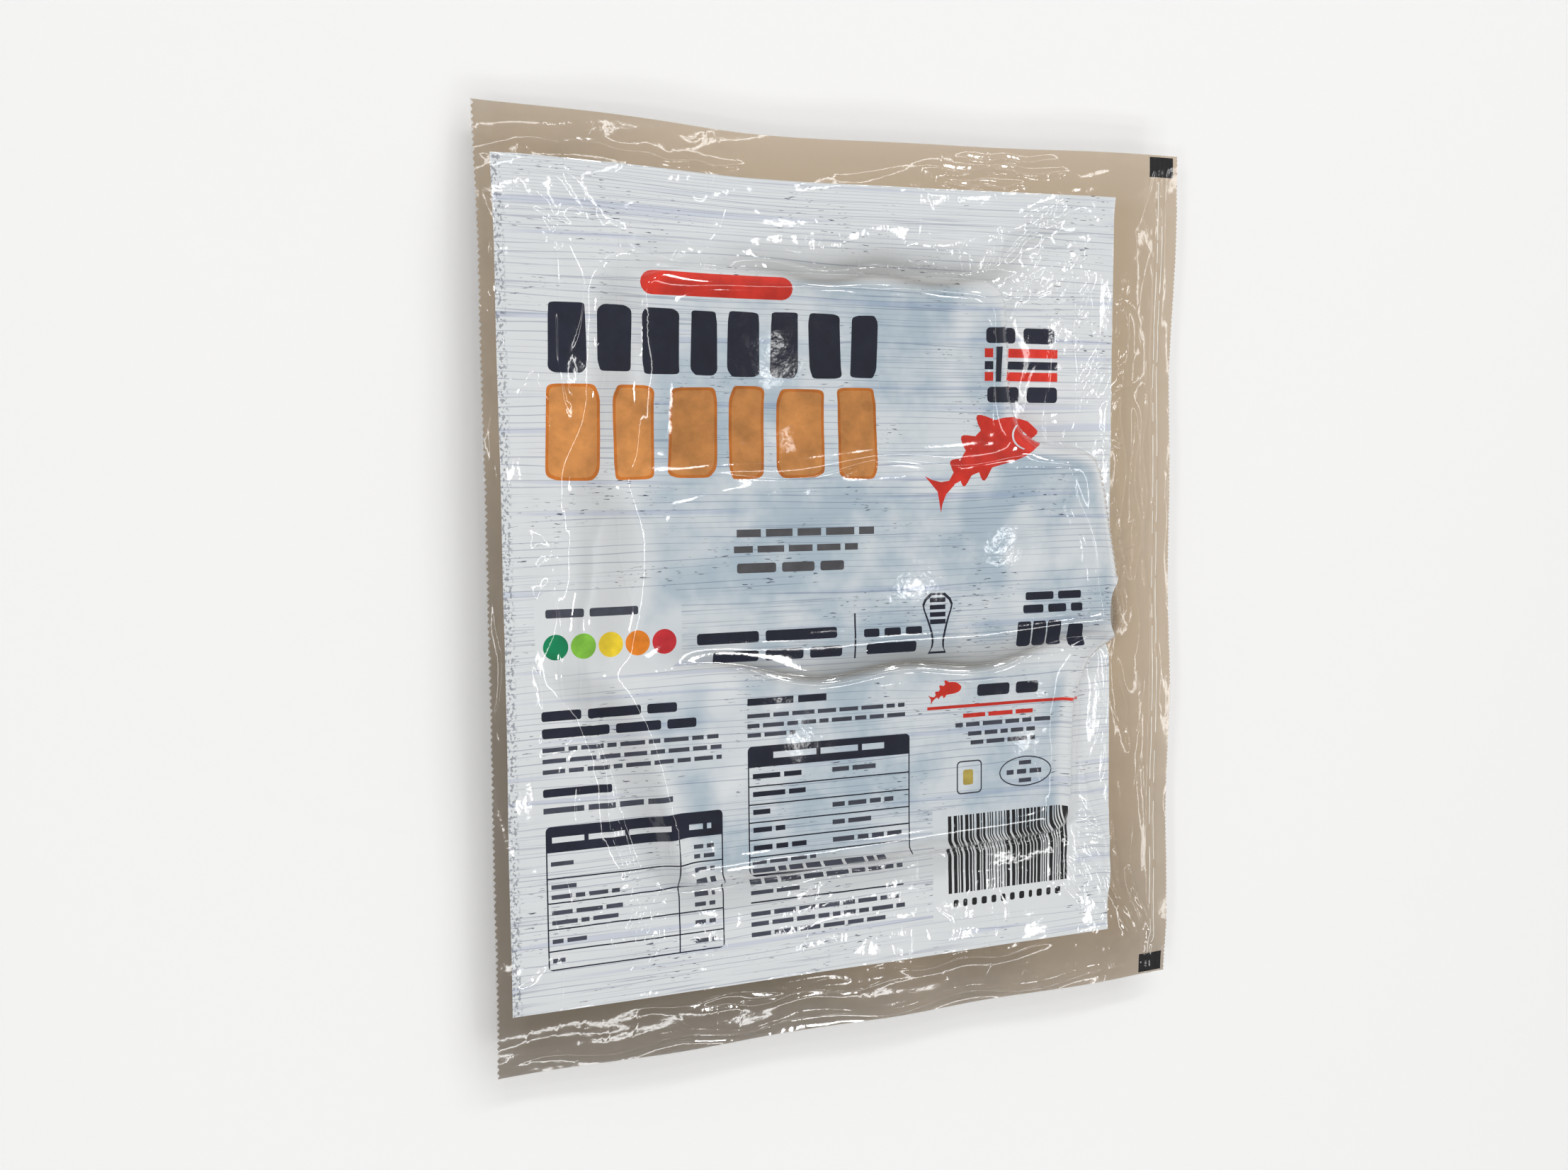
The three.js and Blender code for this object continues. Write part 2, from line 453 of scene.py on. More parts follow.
def paragraph(ink, left, bottoms, rights, height):
    for bottom, right in zip(bottoms, rights):
        words(ink, left, right, bottom, height)


def hand_cut(ink, left, bottom, right, top, wobble, wash=None):
    """An uneven block with soft corners, like wooden type with no letter on it."""
    turns = np.linspace(0, 2 * math.pi, 49)[:-1]
    across = np.sign(np.cos(turns)) * np.abs(np.cos(turns)) ** 0.32
    up = np.sign(np.sin(turns)) * np.abs(np.sin(turns)) ** 0.22
    swell = wobble * (np.sin(2 * turns + draw.uniform(0, 6)) + 0.6 * np.sin(5 * turns + draw.uniform(0, 6)))
    lean = draw.uniform(-0.035, 0.035)
    for colour, inset in ((ink, 0.0), (wash, 0.95)):
        if colour:
            half_width = (right - left) / 2 + swell - inset
            half_height = (top - bottom) / 2 + 0.5 * swell - inset
            x = (left + right) / 2 + across * half_width + lean * up * half_height
            shape(colour, zip(x, (bottom + top) / 2 + up * half_height))


def block_row(ink, left, bottom, right, top, count, gap, wobble, wash=None):
    """A row of blocks, each a little wider or narrower than the next."""
    shares = draw.uniform(0.8, 1.2, count)
    widths = (right - left - gap * (count - 1)) * shares / shares.sum()
    for width in widths:
        lift, drop = draw.uniform(-0.5, 0.5, 2)
        hand_cut(ink, left, bottom + drop, left + width, top + lift, wobble, wash)
        left += width + gap


def fish_shape(ink, x, y, length, turn):
    """A plain leaping cod: a lens with a forked tail, three fins on its back and two below."""
    c, s = math.cos(math.radians(turn)), math.sin(math.radians(turn))

    def drawn(colour, points):
        shape(colour, [(x + length * (a * c - b * s), y + length * (a * s + b * c)) for a, b in points])

    along = np.linspace(0, 1, 17)
    thick = 0.17 * np.sin(math.pi * along**0.72) ** 0.85 * (1.1 - 0.5 * along) + 0.012
    arch = 0.09 * np.sin(math.pi * along)
    spine = 0.5 - 0.86 * along
    body = list(zip(spine, arch + thick)) + list(zip(spine, arch - thick))[::-1]
    drawn(ink, body)
    upper_tail = [(-0.31, 0.02), (-0.4, 0.05), (-0.46, 0.1), (-0.5, 0.15), (-0.475, 0.07), (-0.455, 0.0)]
    drawn(ink, upper_tail + [(a, -b) for a, b in upper_tail[-2::-1]])
    for front, back, side, reach in (
        (0.24, 0.06, 1, 0.12), (0.03, -0.12, 1, 0.1), (-0.15, -0.28, 1, 0.075),
        (0.05, -0.09, -1, 0.09), (-0.12, -0.25, -1, 0.07),
    ):
        over = np.linspace(0, 1, 9)
        root = np.interp(front + (back - front) * over, spine[::-1], (arch + side * thick)[::-1])
        sweep = np.sin(math.pi * over**1.5)
        edge = root + side * (reach * sweep - 0.02)
        drawn(ink, zip(front + (back - front) * over - 0.04 * sweep, edge))
    if length > DETAILED_FISH:
        gill = np.linspace(-1, 1, 9)
        curve = list(zip(0.27 + 0.05 * gill**2, 0.045 + 0.1 * gill))
        drawn("plain_white", curve + [(a + 0.014, b) for a, b in curve[::-1]])
        for colour, eye in (("plain_white", 0.026), (ink, 0.013)):
            turns = np.linspace(0, 5.8, 12)
            drawn(colour, zip(0.375 + eye * np.cos(turns), 0.065 + eye * np.sin(turns)))


def ruled_table(left, bottom, right, top, header, rows, column=None):
    """A table: a dark header and a thin frame, left standing between its blank cells."""
    line = 0.45
    block("navy_ink", left, bottom, right, top, 1.6)
    edges = [header, *rows, bottom + line]
    for upper, lower in zip(edges, edges[1:]):
        if column:
            block("white_print", left + line, lower, column - line / 2, upper - line)
            block("white_print", column + line / 2, lower, right - line, upper - line)
        else:
            block("white_print", left + line, lower, right - line, upper - line)


# the panel and the titles
PANEL_SHAPE = len(shapes) + 1  # its number among the sheet's outlines, after the pouch's own
block("white_print", PANEL["left"], PANEL["bottom"], PANEL["right"], PANEL["top"])
block("red_ink", -75, 94.5, -24, 102, 3.7)
block_row("navy_ink", -104.5, 69.5, 6, 90.5, 8, 3.6, 0.28)
block_row("orange_ink", -105.5, 36.5, 6, 66, 6, 4.6, 0.35, wash="orange_wash")

# the origin flag between its two lines
words("navy_ink", 47.5, 76, 82.2, 5.4, 10, 14)
for stripe, bottom, top in (("red_ink", 77.3, 80.4), ("navy_ink", 73.2, 76.0), ("red_ink", 69.2, 72.3)):
    block(stripe, 54, bottom, 76, top)
    block(stripe, 47, bottom, 50, top)
block("navy_ink", 51, 69, 53, 81)
words("navy_ink", 48, 76, 61.8, 5.4, 10, 14)

# the leaping fish
fish_shape("red_ink", 48, 41, 47, 27)

# the stamped lot and date
words("stamp_ink", -44, 5, 17.5, 2.5, 8, 14)
words("stamp_ink", -45, -1, 12.4, 2.2, 6, 11)
words("stamp_ink", -44, -6, 5.8, 3.2, 8, 14)

# the five dots on their card
block("plain_white", -110.5, -23.5, -63, 2.5, 5)
words("text_ink", -107, -74, -5.9, 2.7, 11, 18)
for i, ink in enumerate(("green_ink", "leaf_ink", "yellow_ink", "amber_ink", "rose_ink")):
    oval(ink, -104 + 8.8 * i, -15, 8, 8)

# the bold lines across the middle loin
words("navy_ink", -58, -5, -16.9, 3.7, 18, 28)
words("navy_ink", -52.5, -7, -23.2, 3.7, 7, 24)
block("navy_ink", -2.5, -24.3, -1.9, -9)
words("navy_ink", 1, 23.5, -17.3, 2.8, 5, 9)
words("navy_ink", 2, 21.5, -23.2, 3.7, 18, 20)
for ink, inset in (("navy_ink", 0.0), ("white_print", 0.75)):
    rise = np.linspace(0, 1, 12)
    half = (1.5 + 6.4 * rise**1.5 + 2 * np.exp(-9 * rise)) * np.minimum(1, 4.2 * (1.03 - rise)) ** 0.5 - inset
    level = -24.4 + inset + (21 - 2 * inset) * rise
    shape(ink, list(zip(29 + half, level)) + list(zip(29 - half, level))[::-1])
for bar in range(4):
    block("navy_ink", 26, -6.6 - 2.5 * bar, 32, -5 - 2.5 * bar)
words("navy_ink", 64, 87, -7.4, 2.8, 7, 12)
words("navy_ink", 63, 87.5, -12, 2.9, 5, 9)
for left, bottom, right in ((60.5, -23.8, 66), (66.8, -23.8, 72.2), (73, -23.8, 78.5), (81.5, -24.6, 88)):
    hand_cut("navy_ink", left, bottom, right, bottom + (9 if right < 80 else 8), 0.12)

# the left column
words("navy_ink", -109, -65, -37.9, 3.1, 12, 18)
words("navy_ink", -109, -58.5, -43.3, 3.1, 10, 24)
paragraph("text_ink", -109, (-47.6, -51.1, -54.5), (-51, -50, -50), 1.4)
words("navy_ink", -109, -87, -61.8, 2.6, 20, 24)
words("text_ink", -109, -65, -67, 1.8, 5, 14)
ruled_table(-108.5, -117.3, -50, -71.2, -79, (-87.6, -95.4, -103.8, -110.8), column=-65.3)
words("white_print", -106.5, -68, -76.4, 1.8, 8, 16)
words("white_print", -61.5, -54, -77, 1.8, 2, 5)
for bottom, right in (
    (-83.8, -98), (-91.2, -99), (-94.4, -84), (-99.4, -84), (-102.6, -85), (-108.6, -96), (-114.8, -103)
):
    words("text_ink", -107, right, bottom, 1.4)
for bottom in (-83.4, -86.6, -91, -94.3, -99.2, -102.5, -108.4, -114.6):
    words("text_ink", -60, -53, bottom, 1.4, 2, 5)

# the middle column
words("navy_ink", -41, -7.5, -37.8, 2.4, 8, 18)
paragraph("text_ink", -41, (-42, -45.3, -48.4), (16.3, 16.5, -24), 1.4)
ruled_table(-41, -94.4, 18.2, -51.4, -58, (-64.6, -70.7, -76.7, -82.6, -88.3))
words("white_print", -32, 8.5, -55.8, 2.1, 6, 16)
for bottom, right, second in (
    (-62.3, -22, 6), (-68.3, -20, None), (-74.3, -31, 12), (-80.3, -28, 4), (-86.3, -18, 15)
):
    words("navy_ink", -39.3, right, bottom, 1.7, 4, 12)
    if second:
        words("text_ink", -10.8, second, bottom, 1.6, 3, 9)
paragraph("text_ink", -39.8, (-91, -93.6), (-17, 10), 1.3)
paragraph("text_ink", -40.5, (-97.7, -101.1), (15.2, -23), 1.4)
block("navy_ink", -40.5, -104, 15.5, -103.5)
paragraph("text_ink", -40.5, (-108.4, -111.8, -115.3), (16, 16, 8.5), 1.5)

# the right column
fish_shape("red_ink", 32, -38.5, 13, 18)
words("navy_ink", 44.5, 69, -40.3, 4.2, 11, 13)
block("red_ink", 25, -44.0, 85, -42.9)
words("red_ink", 39, 69, -47.6, 1.5, 6, 10)
for bottom, left, right in ((-50.8, 36, 74), (-54.1, 41, 68), (-57.3, 42, 68)):
    words("text_ink", left, right, bottom, 1.5)
block("text_ink", 36.5, -74.6, 46.5, -62.8, 1.6)
block("white_print", 37.0, -74.1, 46.0, -63.3, 1.2)
block("ochre_ink", 39, -71.4, 43, -66, 0.8)
oval("text_ink", 64, -68.5, 21, 11)
oval("white_print", 64, -68.5, 20, 10)
words("text_ink", 61.5, 66.5, -66.1, 1.5, 5, 6)
words("text_ink", 56.5, 71.5, -69.4, 1.7, 2.5, 5)
words("text_ink", 61.5, 66.5, -72.5, 1.5, 5, 6)

# a bar code that stands for no number
block("plain_white", 27, -118.5, 85, -79.5)
bar_left = 33.0
while bar_left < 80.5:
    bar = draw.choice([0.45, 0.45, 0.9, 1.35])
    block("black_ink", bar_left, -109.5, bar_left + bar, -82.0)
    bar_left += bar + draw.choice([0.45, 0.45, 0.9])
words("black_ink", 35, 79, -114.6, 2.7, 1.4, 2.2)

# the packing machine's marks, and two weld lines where the film has turned white
block("black_ink", 112.7, 142.2, 123, 149.3)
block("black_ink", 113.2, -149.3, 123.4, -142.2)
WELDS = (116.8, 118.6)
for weld in WELDS:
    weld_bottom = -148 + draw.uniform(6, 12)
    while weld_bottom < 134:
        weld_top = weld_bottom + draw.uniform(5, 34)
        block("weld_line", weld - 0.16, weld_bottom, weld + 0.16, min(weld_top, 140))
        weld_bottom = weld_top + draw.uniform(1, 9)


def pinked(side, pitch, depth):
    """One long edge of the pouch, cut with small uneven teeth."""
    count = int(POUCH_LENGTH / pitch) * 2
    points = []
    for i in range(count + 1):
        tooth = depth * (i % 2) * draw.uniform(0.5, 1)
        points.append((side * (POUCH_WIDTH / 2 - tooth), side * POUCH_LENGTH * (i / count - 0.5)))
    return points


def stepped(outline, longest=0.9):
    """The same outline with more points along its long sides, so that they bend with the film."""
    points = []
    for (x0, y0), (x1, y1) in zip(outline, outline[1:] + outline[:1]):
        count = math.ceil(math.hypot(x1 - x0, y1 - y0) / longest)
        points += [(x0 + (x1 - x0) * i / count, y0 + (y1 - y0) * i / count) for i in range(count)]
    return points


def lattice(pitch, wanted):
    """Points in a triangular pattern all over the pouch, kept where they are wanted."""
    rows = round(POUCH_LENGTH / (pitch * math.sqrt(3) / 2))
    columns = round(POUCH_WIDTH / pitch)
    column, row = np.meshgrid(np.arange(1, columns), np.arange(1, rows))
    x = (column + 0.5 * (row % 2)) * POUCH_WIDTH / columns - POUCH_WIDTH / 2
    y = row * POUCH_LENGTH / rows - POUCH_LENGTH / 2
    x, y = x.ravel(), y.ravel()
    keep = wanted(x, y) & (np.abs(x) < POUCH_WIDTH / 2 - 1)
    return np.stack([x[keep], y[keep]], 1)


def on_panel(x, y):
    return (x > PANEL["left"]) & (x < PANEL["right"]) & (y > PANEL["bottom"]) & (y < PANEL["top"])


def on_fish(x, y):
    return fish_under(x, y)[0] < -7


def flat_front():
    """The film before it is drawn down: one flat sheet, cut along every printed outline."""
    pouch = pinked(1, *RIGHT_TOOTH) + pinked(-1, *LEFT_TOOTH)
    points, faces = [], []
    for outline in [stepped(edge) for edge in [pouch] + [edge for _, edge in shapes]]:
        faces.append(list(range(len(points), len(points) + len(outline))))
        points.extend(outline)
    fill = [
        lattice(FISH_PITCH, lambda x, y: on_panel(x, y) & on_fish(x, y)),
        lattice(PANEL_PITCH, lambda x, y: on_panel(x, y) & ~on_fish(x, y)),
        lattice(MARGIN_PITCH, lambda x, y: ~on_panel(x, y)),
    ]
    points = [Vector(point) for point in np.concatenate([np.array(points)] + fill)]
    inside_outlines = 1
    places, _, triangles, _, _, parents = delaunay_2d_cdt(points, [], faces, inside_outlines, 1e-4)
    inks = np.array([ink_order.index(shapes[max(p) - 1][0]) if max(p) else 0 for p in parents])
    printed = np.array([PANEL_SHAPE in p for p in parents])
    return np.array([tuple(p) for p in places]), np.array(triangles), inks, printed


FANS = [  # spare film round a loin's corner: centre, first and last way, folds, near, far, height
    ((-66, 82), 124, 148, 8, 34, 70, 0.42),
    ((-76, 96), 84, 122, 5, 6, 34, 0.35),
    ((-80, 60), 165, 196, 6, 12, 38, 0.25),
    ((44, 96), 14, 74, 9, 8, 44, 0.42),
    ((78, 52), -20, 75, 9, 12, 44, 0.4),
    ((92, 8), -45, 40, 9, 6, 22, 0.4),
    ((62, -36), -80, -52, 8, 24, 84, 0.5),
    ((70, -84), -78, -12, 9, 10, 50, 0.4),
    ((-66, -84), 196, 262, 10, 8, 46, 0.32),
    ((-88, -36), 150, 235, 7, 6, 28, 0.3),
    ((-92, 12), 150, 215, 6, 5, 26, 0.3),
]
FOLDS = [  # single folds: start, end, height, width, bow, tip
    ((-36, 100), (48, 101.5), 0.6, 1.2, 0, 0.8),
    ((52, 97.5), (64, 99), 0.5, 1.0, 0, 0.6),
    ((59, 100.5), (72, 107.5), 0.5, 1.0, 0, 0.6),
    ((82, 90), (91, 109), 0.5, 1.0, 0, 0.6),
    ((52, 99), (50, 60), 0.9, 1.6, 0, 1.0),
    ((-77, 97), (-75, 46), -0.9, 1.7, 1, 0.8),
    ((-70, 34), (87, 43.5), 0.9, 1.4, 1.5, 0.8),  # the rim of the middle loin
    ((-85, 36), (-95, -26), 0.9, 1.7, -3, 0.8),
    ((76, 48), (97, -26), 1.4, 2.1, 5, 1.0),
    ((-66, -23.5), (99, -21), -3.2, 1.5, -7, 0.4),  # the groove below the middle loin
    ((-70, -23), (100, -20), -1.6, 5, -6, 2),
    ((-95, -20), (-82, -96), 0.8, 1.6, -1, 0.8),
    ((74, -46), (75, -79), 0.9, 1.8, 0, 1.0),
    ((83, -54), (113, -137), 1.4, 1.6, -3, 0.7),
    ((100, -88), (105, -122), 0.8, 1.0, 0, 0.5),
    ((107, -108), (121, -142), 1.1, 1.2, 0, 0.6),
    ((95, -98), (112, -140), 0.8, 1.0, -2, 0.5),
    ((-118, -121), (-107, -112), 0.5, 1.0, 0, 0.6),
    ((-90, -134), (-5, -135), 0.5, 1.2, 1, 0.8),
    ((-62, -137), (20, -137.5), 0.4, 1.0, 0, 0.8),
    ((0, -133), (78, -133), 0.5, 1.2, -1, 0.8),
    ((-122, -146.5), (-10, -147), 0.6, 1.0, 1, 0.6),
    ((-30, -147.5), (108, -147), 0.6, 1.0, 0, 0.6),
    ((-112, 139), (-66, 138), 0.4, 1.1, 1, 0.8),
    ((-76, 137.5), (-38, 138), 0.4, 1.1, 0, 0.8),
    ((18, 141), (84, 141), 0.5, 1.1, 1, 0.8),
    ((34, 145.5), (76, 146), 0.4, 0.9, 0, 0.8),
    ((28, 137), (64, 137.5), 0.5, 1.0, -1, 0.8),
    ((105, 96), (107, -18), 0.8, 1.4, -2, 0.7),
    ((109, 62), (110, -30), 0.8, 1.1, 1, 0.6),
    ((113.5, 70), (113, -12), 0.6, 0.9, 0, 0.6),
    ((101, 27), (105, -14), 0.7, 1.0, -1, 0.5),
    ((101, -28), (108, -66), 0.7, 1.0, 1, 0.5),
    ((-122, 134), (-121, 92), 0.4, 1.2, 0, 0.8),
    ((-121.5, 90), (-122, 30), 0.3, 1.0, 0, 0.8),
    ((-121.5, 20), (-121.5, -60), 0.3, 1.0, 0, 0.8),
]

PAINTED_SHADE_LINES = [  # darker print where no fish fills the gap behind it, deepened by painted shade for the shadow in that gap: start, end, share, width, bow, tip
    ((-44, 102.5), (58, 103), 0.5, 1.2, 0, 0.8),
    ((-52, 105.5), (66, 106.5), 0.4, 3, 0, 1.5),
    ((48, 103), (82, 127), 0.2, 3, 2, 1.5),
    ((-66, -23.5), (99, -21), 0.75, 1.1, -7, 0.8),
    ((-72, -20), (101, -17.5), 0.4, 3, -7, 1.5),
    ((-60, -93.5), (30, -92), 0.3, 1.2, 0, 0.6),
    ((18, -91.5), (86, -88), 0.3, 1.2, 1, 0.6),
]


def front_relief(x, y, held):
    """Folds and crumples of the front film: deep where it hangs free, faint where fish fills it."""
    fans, folds = np.zeros_like(x), np.zeros_like(x)
    for (middle_x, middle_y), first, last, count, near, far, height in FANS:
        for i in range(count):
            way = math.radians(first + (last - first) * (i + draw.uniform(0.1, 0.9)) / count)
            begin, stop = near + draw.uniform(0, 0.4) * (far - near), far * draw.uniform(0.6, 1)
            start = (middle_x + begin * math.cos(way), middle_y + begin * math.sin(way))
            end = (middle_x + stop * math.cos(way), middle_y + stop * math.sin(way))
            lift = height * draw.uniform(0.5, 1)
            raise_ridge(fans, x, y, start, end, lift, draw.uniform(0.7, 1.3), draw.uniform(-3, 3))
    for fold in FOLDS:
        raise_ridge(folds, x, y, *fold)
    wander = 2.5 * lumps(x, y, 21, 31)
    beside = smooth(np.abs(x), 78, 100) * smooth(118 - np.abs(y), -14, 14)
    rising = y - 0.25 * x * smooth(y, 60, 100)
    streaks = 0.45  # keeps the front film above the back one
    for along, over, share, seed in ((x, rising, 1 - beside, 33), (y, x, beside, 35)):
        broad = 0.34 * lumps(along / 5, over + wander, 8.5, seed)
        fine = 0.07 * lumps(along / 6, over + wander, 3.4, seed + 1)
        streaks = streaks + (broad + fine) * share
    crumple = 0.14 * lumps(x + wander, y - wander, 8, 37, creased=True) * np.where(on_panel(x, y), 1, 0.4)
    ice = 0.06 * lumps(x + wander, y, 11, 38) + 0.01 * lumps(x, y + wander, 4, 39, creased=True)
    free = fans * (1 - 0.8 * held) + (streaks + crumple) * (1 - 0.93 * held)
    return free + folds * (1 - 0.5 * held) + ice * held


def climb_of(distance, width, gentle):
    """The film's rise over a loin's shoulder: steep, or in a wider curve where gentle is 1."""
    return shoulder(distance, width + 6 * gentle, foot=1 + 5 * gentle, foot_share=0.15 + 0.35 * gentle)


def drape(flat_x, flat_y):
    """Draws the flat front film down over the fish. The print slides outwards as the film climbs."""
    start_x, start_y = drawn_in(flat_x, flat_y)
    to_edge = np.maximum(np.abs(flat_x) / (POUCH_WIDTH / 2), np.abs(flat_y) / (POUCH_LENGTH / 2))
    inside = 1 - smooth(to_edge, 0.82, 1)
    x, y = start_x, start_y
    for _ in range(9):  # the slide follows from the height, and the height from where the film slid
        distance, crown, width = fish_under(x, y)
        level = margin_height(x, y, distance)
        climbed = level + (crown - level) * climb_of(distance, width, 1)
        lift = (climbed - EDGE_HEIGHT) * inside / SIGHT_HEIGHT
        x = (x + start_x - (start_x - SIGHT_FOOT[0]) * lift) / 2
        y = (y + start_y - (start_y - SIGHT_FOOT[1]) * lift) / 2
    distance, crown, width = fish_under(x, y)
    upper = margin_height(x, y, distance) + FILM_GAP / 2
    left_end, lower_right = smooth(-x, 55, 82), smooth(x, 66, 82) * smooth(-y, 28, 44)
    lower_rim = 0.5 * smooth(-y, 70, 84)
    rise = climb_of(distance, width, np.maximum(np.maximum(left_end, lower_right), lower_rim))
    held = smooth(rise, 0.6, 0.98)
    z = upper + (crown - upper) * rise + front_relief(flat_x, flat_y, held)
    z = np.maximum(z, upper - FILM_GAP / 2)
    for cut in LOINS.values():
        z = np.maximum(z, top_of(cut, x, y) + 0.2)
    for weld in WELDS:
        pinch = 0.6 + 0.4 * lumps(flat_x, flat_y, 5, 41)
        z = z + 0.45 * pinch * np.exp(-(((flat_x - weld) / 0.6) ** 2))
    patches = lumps(flat_x, flat_y, 26, 42) + 0.6 * lumps(flat_x, flat_y, 8, 43)
    # painted shade: strongest in the grooves and along the loins' rims, where the film spans a gap
    painted_shade = np.zeros_like(x)
    for dark in PAINTED_SHADE_LINES:
        raise_ridge(painted_shade, flat_x, flat_y, *dark)
    touch = smooth(rise, 0.86, 0.99) * smooth(patches, -1.6, -0.5)
    slack = (1 - held) * np.where(on_panel(flat_x, flat_y), 1, 0.5)
    return x, y, z, dict(touch=touch, slack=slack, painted_shade=painted_shade, climb=rise)


def film_normal(add, place):
    """Creases and ripples of the film, too fine for the mesh: the creases fade where fish fills it."""
    slack = add("ShaderNodeAttribute", attribute_name="slack").outputs["Fac"]
    height = 0.0
    for stretch, turn in (((40, 14, 30), 0.4), ((60, 20, 40), 2.3)):
        along = add("ShaderNodeMapping", {"Vector": place, "Rotation": (0, 0, turn), "Scale": stretch})
        place_along = along.outputs["Vector"]
        field = add("ShaderNodeTexNoise", {"Vector": place_along, "Scale": 1, "Detail": 1, "Distortion": 0.7})
        off = add("ShaderNodeMath", {0: field.outputs["Fac"], 1: 0.5}, operation="SUBTRACT")
        apart = add("ShaderNodeMath", {0: off.outputs[0]}, operation="ABSOLUTE")
        line = add(
            "ShaderNodeMapRange",
            {"Value": apart.outputs[0], "From Max": 0.03, "To Min": 1.0, "To Max": 0.0},
            interpolation_type="SMOOTHSTEP",
        )
        height = add("ShaderNodeMath", {0: height, 1: line.outputs["Result"]}, operation="ADD").outputs[0]
    faded = add("ShaderNodeMath", {0: height, 1: slack}, operation="MULTIPLY")
    creases = add("ShaderNodeBump", {"Height": faded.outputs[0], "Strength": 1, "Distance": 0.00004})
    ripple = add("ShaderNodeTexNoise", {"Vector": place, "Scale": 330, "Detail": 2, "Roughness": 0.5})
    depth = add("ShaderNodeMath", {0: slack, 1: 0.45, 2: 0.55}, operation="MULTIPLY_ADD")
    ripple = add("ShaderNodeMath", {0: ripple.outputs["Fac"], 1: depth.outputs[0]}, operation="MULTIPLY")
    return add(
        "ShaderNodeBump",
        {
            "Height": ripple.outputs[0],
            "Strength": 1,
            "Distance": 0.00004,
            "Normal": creases.outputs["Normal"],
        },
    ).outputs["Normal"]


def gloss(shader, plug, normal):
    shader.inputs["Roughness"].default_value = 0.55
    shader.inputs["Specular IOR Level"].default_value = 0
    shader.inputs["Coat Weight"].default_value = 1
    shader.inputs["Coat Roughness"].default_value = 0.06
    shader.inputs["Coat IOR"].default_value = 1.6
    plug(normal, "Normal")
    plug(normal, "Coat Normal")


def ink_material(name, colour):
    """Ink under glossy film: a little uneven, and darker where cold fish lies right behind it."""
    material, shader, add, plug = node_material(name)
    place = add("ShaderNodeTexCoord").outputs["Object"]
    touch = add("ShaderNodeAttribute", attribute_name="touch").outputs["Fac"]
    cloud = add("ShaderNodeTexNoise", {"Vector": place, "Scale": 160, "Detail": 5, "Roughness": 0.6})
    shade = add(
        "ShaderNodeMapRange",
        {"Value": cloud.outputs["Fac"], "From Min": 0.3, "From Max": 0.7, "To Min": 0.8, "To Max": 1.25},
    )
    damp = add("ShaderNodeMath", {0: touch, 1: -0.25, 2: 1.0}, operation="MULTIPLY_ADD")
    both = add("ShaderNodeMath", {0: shade.outputs["Result"], 1: damp.outputs[0]}, operation="MULTIPLY")
    tinted = add("ShaderNodeVectorMath", {0: colour, "Scale": both.outputs[0]}, operation="SCALE")
    plug(tinted.outputs["Vector"], "Base Color")
    gloss(shader, plug, film_normal(add, place))
    return material


